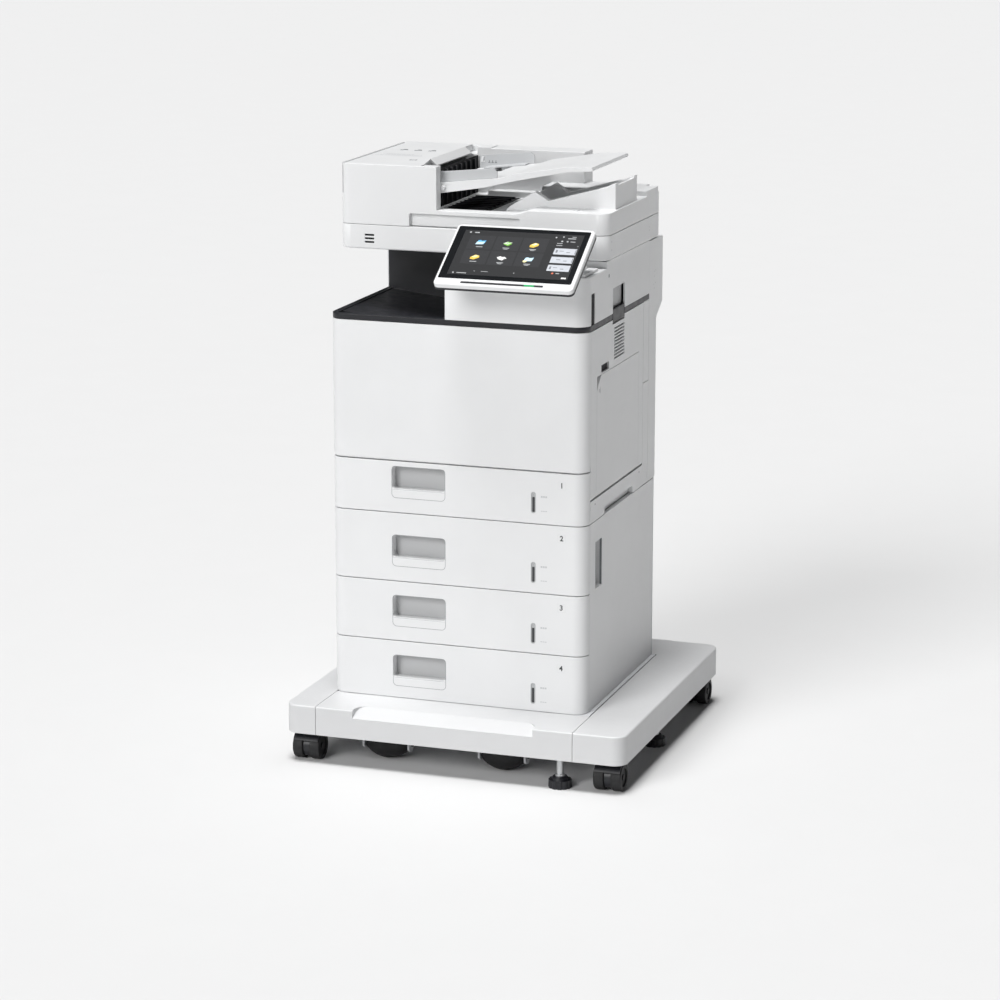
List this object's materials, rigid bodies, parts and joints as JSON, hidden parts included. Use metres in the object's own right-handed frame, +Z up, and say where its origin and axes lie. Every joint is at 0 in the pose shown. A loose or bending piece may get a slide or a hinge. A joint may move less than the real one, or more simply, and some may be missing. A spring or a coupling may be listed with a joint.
{
  "type": "photocopier",
  "caption": "Floor-standing office photocopier on a wheeled pedestal: stacked paper drawers, laser engine, flatbed scanner with document feeder and a tilting touch panel.",
  "frame": {"origin": "on the floor under the middle of the pedestal", "axes": "+Z up, -Y the front with the drawers, +X to the right seen from the front"},
  "size_m": [0.651, 0.641, 1.09],
  "materials": {
    "white_plastic": "fine texture",
    "grey_plastic": "fine texture",
    "black_plastic": "fine texture",
    "black_rubber": "moulded",
    "painted_steel": "powder coat",
    "zinc_steel": "zinc plated sheet",
    "platen_glass": "polished",
    "screen": "polished"
  },
  "bodies": {
    "machine": {"base_frame": "painted_steel", "base_cover_front": "white_plastic", "base_cover_left": "white_plastic", "base_cover_right": "white_plastic", "deck_frame": "painted_steel", "deck_left_cover": "white_plastic", "deck_right_cover": "white_plastic", "main_frame": "zinc_steel", "main_left_cover": "white_plastic", "lower_right_panel": "white_plastic", "main_rear_cover": "white_plastic", "exit_tray": "black_plastic", "column_cover": "white_plastic", "toner_drum_cartridge": "black_plastic", "fuser_unit": "black_plastic", "scanner_housing": "white_plastic", "platen_glass": "platen_glass", "panel_arm": "white_plastic"},
    "caster_fork_front_left": {"caster_housing_front_left": "black_plastic"},
    "caster_wheels_front_left": {"caster_wheels_front_left": "black_rubber"},
    "caster_fork_front_right": {"caster_housing_front_right": "black_plastic"},
    "caster_wheels_front_right": {"caster_wheels_front_right": "black_rubber"},
    "caster_fork_rear_left": {"caster_housing_rear_left": "black_plastic"},
    "caster_wheels_rear_left": {"caster_wheels_rear_left": "black_rubber"},
    "caster_fork_rear_right": {"caster_housing_rear_right": "black_plastic"},
    "caster_wheels_rear_right": {"caster_wheels_rear_right": "black_rubber"},
    "front_roller_left": {"front_roller_left": "black_rubber"},
    "front_roller_right": {"front_roller_right": "black_rubber"},
    "leveling_foot_front_right": {"leveling_foot_front_right": "black_plastic"},
    "leveling_foot_right": {"leveling_foot_right": "black_plastic"},
    "leveling_foot_left": {"leveling_foot_left": "black_plastic"},
    "leveling_foot_rear_left": {"leveling_foot_rear_left": "black_plastic"},
    "cassette_4": {"cassette_4_front": "white_plastic", "cassette_4_tray": "grey_plastic"},
    "cassette_4_lift": {"cassette_4_lift_plate": "zinc_steel"},
    "pickup_roller_4": {"pickup_roller_4": "black_rubber"},
    "cassette_3": {"cassette_3_front": "white_plastic", "cassette_3_tray": "grey_plastic"},
    "cassette_3_lift": {"cassette_3_lift_plate": "zinc_steel"},
    "pickup_roller_3": {"pickup_roller_3": "black_rubber"},
    "cassette_2": {"cassette_2_front": "white_plastic", "cassette_2_tray": "grey_plastic"},
    "cassette_2_lift": {"cassette_2_lift_plate": "zinc_steel"},
    "pickup_roller_2": {"pickup_roller_2": "black_rubber"},
    "cassette_1": {"cassette_1_front": "white_plastic", "cassette_1_tray": "grey_plastic"},
    "cassette_1_lift": {"cassette_1_lift_plate": "zinc_steel"},
    "pickup_roller_1": {"pickup_roller_1": "black_rubber"},
    "front_door": {"front_door": "white_plastic"},
    "right_door": {"right_door": "white_plastic"},
    "mp_tray": {"mp_tray": "white_plastic"},
    "right_latch": {"right_latch": "black_plastic"},
    "scan_carriage": {"scan_carriage": "black_plastic"},
    "document_lid": {"adf_base": "white_plastic"},
    "feeder_cover": {"adf_feeder_cover": "white_plastic"},
    "input_tray": {"adf_input_tray": "white_plastic"},
    "guide_front": {"adf_guide_front": "grey_plastic"},
    "guide_rear": {"adf_guide_rear": "grey_plastic"},
    "control_panel": {"panel_housing": "white_plastic", "touch_screen": "screen"}
  },
  "joints": [
    {"name": "document_lid_hinge", "type": "hinge", "parent": "machine", "child": "document_lid", "pos_m": [0, 0.237, 0.968], "axis": [-1, 0, 0], "range_deg": [0, 65]},
    {"name": "feeder_cover_hinge", "type": "hinge", "parent": "document_lid", "child": "feeder_cover", "pos_m": [-0.2785, 0, 1.076], "axis": [0, -1, 0], "range_deg": [0, 75]},
    {"name": "input_tray_hinge", "type": "hinge", "parent": "document_lid", "child": "input_tray", "pos_m": [-0.096, 0, 1.042], "axis": [0, -1, 0], "range_deg": [0, 20]},
    {"name": "guide_front_slide", "type": "slide", "parent": "input_tray", "child": "guide_front", "axis": [0, 1, 0], "range_m": [0, 0.06]},
    {"name": "guide_rear_slide", "type": "slide", "parent": "input_tray", "child": "guide_rear", "axis": [0, 1, 0], "range_m": [-0.06, 0]},
    {"name": "control_panel_tilt", "type": "hinge", "parent": "machine", "child": "control_panel", "pos_m": [0, -0.19, 0.94], "axis": [1, 0, 0], "range_deg": [-20, 35]},
    {"name": "front_door_hinge", "type": "hinge", "parent": "machine", "child": "front_door", "pos_m": [0, -0.2095, 0.5656], "axis": [1, 0, 0], "range_deg": [0, 85]},
    {"name": "right_door_hinge", "type": "hinge", "parent": "machine", "child": "right_door", "pos_m": [0.2125, 0, 0.5095], "axis": [0, 1, 0], "range_deg": [0, 30]},
    {"name": "mp_tray_hinge", "type": "hinge", "parent": "right_door", "child": "mp_tray", "pos_m": [0.216, 0, 0.508], "axis": [0, 1, 0], "range_deg": [0, 65]},
    {"name": "right_latch_hinge", "type": "hinge", "parent": "right_door", "child": "right_latch", "pos_m": [0.217, 0, 0.808], "axis": [0, 1, 0], "range_deg": [0, 15], "stiffness_Nm_per_rad": 0.05, "springref_deg": -5.73},
    {"name": "scan_carriage_travel", "type": "slide", "parent": "machine", "child": "scan_carriage", "axis": [1, 0, 0], "range_m": [0, 0.4]},
    {"name": "cassette_1_slide", "type": "slide", "parent": "machine", "child": "cassette_1", "axis": [0, -1, 0], "range_m": [0, 0.33]},
    {"name": "cassette_2_slide", "type": "slide", "parent": "machine", "child": "cassette_2", "axis": [0, -1, 0], "range_m": [0, 0.33]},
    {"name": "cassette_3_slide", "type": "slide", "parent": "machine", "child": "cassette_3", "axis": [0, -1, 0], "range_m": [0, 0.33]},
    {"name": "cassette_4_slide", "type": "slide", "parent": "machine", "child": "cassette_4", "axis": [0, -1, 0], "range_m": [0, 0.33]},
    {"name": "cassette_1_lift_hinge", "type": "hinge", "parent": "cassette_1", "child": "cassette_1_lift", "pos_m": [-0.072, 0, 0.4779], "axis": [0, -1, 0], "range_deg": [0, 9]},
    {"name": "cassette_2_lift_hinge", "type": "hinge", "parent": "cassette_2", "child": "cassette_2_lift", "pos_m": [-0.072, 0, 0.349], "axis": [0, -1, 0], "range_deg": [0, 9]},
    {"name": "cassette_3_lift_hinge", "type": "hinge", "parent": "cassette_3", "child": "cassette_3_lift", "pos_m": [-0.072, 0, 0.2359], "axis": [0, -1, 0], "range_deg": [0, 9]},
    {"name": "cassette_4_lift_hinge", "type": "hinge", "parent": "cassette_4", "child": "cassette_4_lift", "pos_m": [-0.072, 0, 0.1265], "axis": [0, -1, 0], "range_deg": [0, 9]},
    {"name": "leveling_foot_front_right_raise", "type": "slide", "parent": "machine", "child": "leveling_foot_front_right", "axis": [0, 0, 1], "range_m": [0, 0.012]},
    {"name": "leveling_foot_right_raise", "type": "slide", "parent": "machine", "child": "leveling_foot_right", "axis": [0, 0, 1], "range_m": [0, 0.012]},
    {"name": "leveling_foot_left_raise", "type": "slide", "parent": "machine", "child": "leveling_foot_left", "axis": [0, 0, 1], "range_m": [0, 0.012]},
    {"name": "leveling_foot_rear_left_raise", "type": "slide", "parent": "machine", "child": "leveling_foot_rear_left", "axis": [0, 0, 1], "range_m": [0, 0.012]},
    {"name": "caster_swivel_front_left", "type": "hinge", "parent": "machine", "child": "caster_fork_front_left", "pos_m": [-0.29, -0.262, 0.05], "axis": [0, 0, 1], "continuous": true},
    {"name": "caster_swivel_front_right", "type": "hinge", "parent": "machine", "child": "caster_fork_front_right", "pos_m": [0.29, -0.262, 0.05], "axis": [0, 0, 1], "continuous": true},
    {"name": "caster_swivel_rear_left", "type": "hinge", "parent": "machine", "child": "caster_fork_rear_left", "pos_m": [-0.29, 0.262, 0.05], "axis": [0, 0, 1], "continuous": true},
    {"name": "caster_swivel_rear_right", "type": "hinge", "parent": "machine", "child": "caster_fork_rear_right", "pos_m": [0.29, 0.262, 0.05], "axis": [0, 0, 1], "continuous": true},
    {"name": "front_roller_left_spin", "type": "hinge", "parent": "machine", "child": "front_roller_left", "pos_m": [-0.1545, -0.2345, 0.0285], "axis": [1, 0, 0], "continuous": true},
    {"name": "front_roller_right_spin", "type": "hinge", "parent": "machine", "child": "front_roller_right", "pos_m": [0.0715, -0.2345, 0.0285], "axis": [1, 0, 0], "continuous": true},
    {"name": "caster_roll_front_left", "type": "hinge", "parent": "caster_fork_front_left", "child": "caster_wheels_front_left", "pos_m": [-0.29, -0.284, 0.025], "axis": [1, 0, 0], "continuous": true},
    {"name": "caster_roll_front_right", "type": "hinge", "parent": "caster_fork_front_right", "child": "caster_wheels_front_right", "pos_m": [0.29, -0.284, 0.025], "axis": [1, 0, 0], "continuous": true},
    {"name": "caster_roll_rear_left", "type": "hinge", "parent": "caster_fork_rear_left", "child": "caster_wheels_rear_left", "pos_m": [-0.29, 0.284, 0.025], "axis": [1, 0, 0], "continuous": true},
    {"name": "caster_roll_rear_right", "type": "hinge", "parent": "caster_fork_rear_right", "child": "caster_wheels_rear_right", "pos_m": [0.29, 0.284, 0.025], "axis": [1, 0, 0], "continuous": true},
    {"name": "pickup_roller_1_spin", "type": "hinge", "parent": "machine", "child": "pickup_roller_1", "pos_m": [0.15, 0, 0.5398], "axis": [0, 1, 0], "continuous": true},
    {"name": "pickup_roller_2_spin", "type": "hinge", "parent": "machine", "child": "pickup_roller_2", "pos_m": [0.15, 0, 0.4434], "axis": [0, 1, 0], "continuous": true},
    {"name": "pickup_roller_3_spin", "type": "hinge", "parent": "machine", "child": "pickup_roller_3", "pos_m": [0.15, 0, 0.3145], "axis": [0, 1, 0], "continuous": true},
    {"name": "pickup_roller_4_spin", "type": "hinge", "parent": "machine", "child": "pickup_roller_4", "pos_m": [0.15, 0, 0.2014], "axis": [0, 1, 0], "continuous": true}
  ],
  "couplings": [
    {"joint": "guide_rear_slide", "follows": "guide_front_slide", "ratio": -1}
  ]
}
